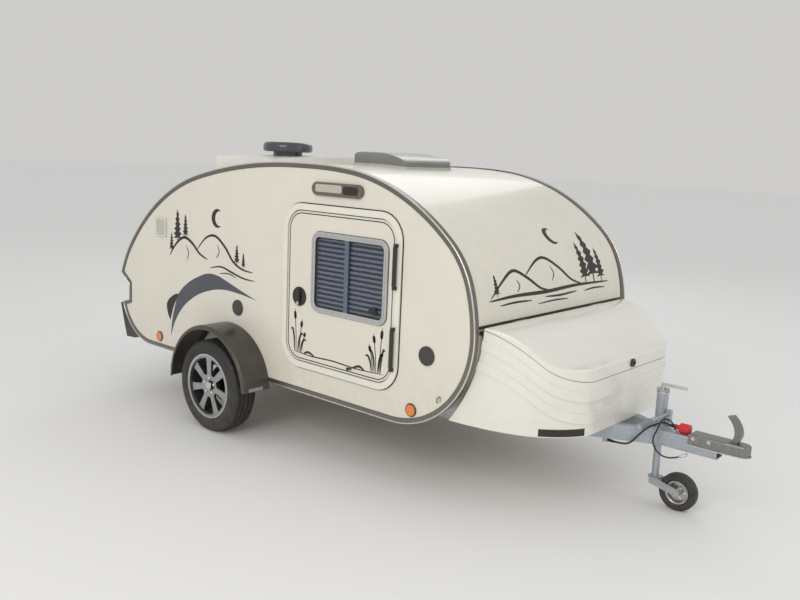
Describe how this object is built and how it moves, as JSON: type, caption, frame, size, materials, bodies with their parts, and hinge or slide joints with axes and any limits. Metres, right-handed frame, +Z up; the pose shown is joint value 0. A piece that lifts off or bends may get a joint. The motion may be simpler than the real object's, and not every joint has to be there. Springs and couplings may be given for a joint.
{
  "type": "teardrop trailer",
  "caption": "Teardrop-shaped camping trailer on a single axle, with hollow cabin, two doors, rear galley hatch, front box with lid, jockey wheel and ball coupling.",
  "frame": {"origin": "bottom centre of the overall box, on the ground", "axes": "+X forward to the coupling, +Y left, +Z up"},
  "size_m": [4.314, 1.96, 1.82],
  "materials": {
    "body_paint": "satin",
    "box_gloss": "gloss",
    "trim_silver": "satin",
    "galvanised": "matte",
    "zinc": "satin",
    "wheel_silver": "satin",
    "hub_iron": "matte",
    "tyre": "matte",
    "fender_grey": "satin",
    "window_glass": "gloss",
    "blind_cloth": "matte",
    "dark_plastic": "satin",
    "cap_plastic": "satin",
    "skylight_frame": "matte",
    "skylight_clear": "gloss",
    "lamp_red": "gloss",
    "reflector_amber": "gloss",
    "birch_board": "satin",
    "cushion": "matte",
    "cable_black": "matte"
  },
  "bodies": {
    "trailer": {"awning_lights": "trim_silver", "axle_beam": "galvanised", "breakaway_cable": "cable_black", "breakaway_clip": "zinc", "bulkhead": "birch_board", "chassis_rails": "galvanised", "coupling_handle": "zinc", "coupling_head": "zinc", "cross_members": "galvanised", "door_frames": "trim_silver", "drawbar_beam": "galvanised", "fenders": "fender_grey", "floor_panel": "birch_board", "front_box": "box_gloss", "galley_counter": "birch_board", "jockey_clamp": "zinc", "jockey_crank": "zinc", "jockey_tube": "zinc", "lead": "cable_black", "mattress": "cushion", "plug": "lamp_red", "rear_bumper": "fender_grey", "rear_lamps": "lamp_red", "rear_panel": "body_paint", "roof_pod": "body_paint", "roof_skin": "body_paint", "roof_vent": "dark_plastic", "side_reflectors": "reflector_amber", "side_wall_left": "body_paint", "side_wall_right": "body_paint", "skylight_dome": "skylight_clear", "skylight_frame": "skylight_frame", "swing_arms": "galvanised", "wall_caps": "cap_plastic", "wall_trims": "trim_silver", "wall_vents": "dark_plastic"},
    "door_right": {"door_right": "body_paint", "window_frame_right": "trim_silver", "window_glass_right": "window_glass", "window_blind_right": "blind_cloth", "door_lock_right": "dark_plastic"},
    "door_left": {"door_left": "body_paint", "window_frame_left": "trim_silver", "window_glass_left": "window_glass", "window_blind_left": "blind_cloth", "door_lock_left": "dark_plastic"},
    "rear_hatch": {"rear_hatch": "body_paint"},
    "box_lid": {"box_lid": "box_gloss", "box_latch": "dark_plastic"},
    "jockey_leg": {"jockey_leg": "zinc"},
    "jockey_fork": {"jockey_fork": "zinc"},
    "jockey_wheel": {"jockey_rim": "wheel_silver", "jockey_tyre": "tyre"},
    "wheel_right": {"tyre_right": "tyre", "rim_right": "wheel_silver", "hub_right": "hub_iron"},
    "wheel_left": {"tyre_left": "tyre", "rim_left": "wheel_silver", "hub_left": "hub_iron"}
  },
  "joints": [
    {"name": "door_right_hinge", "type": "hinge", "parent": "trailer", "child": "door_right", "pos_m": [0.535, -0.807, 0.98], "axis": [0, 0, 1], "range_deg": [0, 170]},
    {"name": "door_left_hinge", "type": "hinge", "parent": "trailer", "child": "door_left", "pos_m": [0.535, 0.807, 0.98], "axis": [0, 0, -1], "range_deg": [0, 170]},
    {"name": "rear_hatch_hinge", "type": "hinge", "parent": "trailer", "child": "rear_hatch", "pos_m": [-1.30122, 0, 1.56575], "axis": [0, 1, 0], "range_deg": [0, 75]},
    {"name": "box_lid_hinge", "type": "hinge", "parent": "trailer", "child": "box_lid", "pos_m": [1.055, 0, 0.954], "axis": [0, -1, 0], "range_deg": [0, 65]},
    {"name": "jockey_slide", "type": "slide", "parent": "trailer", "child": "jockey_leg", "axis": [0, 0, 1], "range_m": [-0.05, 0.13]},
    {"name": "jockey_swivel", "type": "hinge", "parent": "jockey_leg", "child": "jockey_fork", "pos_m": [1.646, 0.105, 0.15], "axis": [0, 0, 1], "continuous": true},
    {"name": "jockey_spin", "type": "hinge", "parent": "jockey_fork", "child": "jockey_wheel", "pos_m": [1.781, 0.105, 0.1], "axis": [0, 1, 0], "continuous": true},
    {"name": "wheel_right_spin", "type": "hinge", "parent": "trailer", "child": "wheel_right", "pos_m": [-0.85, -0.882, 0.292], "axis": [0, 1, 0], "continuous": true},
    {"name": "wheel_left_spin", "type": "hinge", "parent": "trailer", "child": "wheel_left", "pos_m": [-0.85, 0.882, 0.292], "axis": [0, 1, 0], "continuous": true}
  ]
}
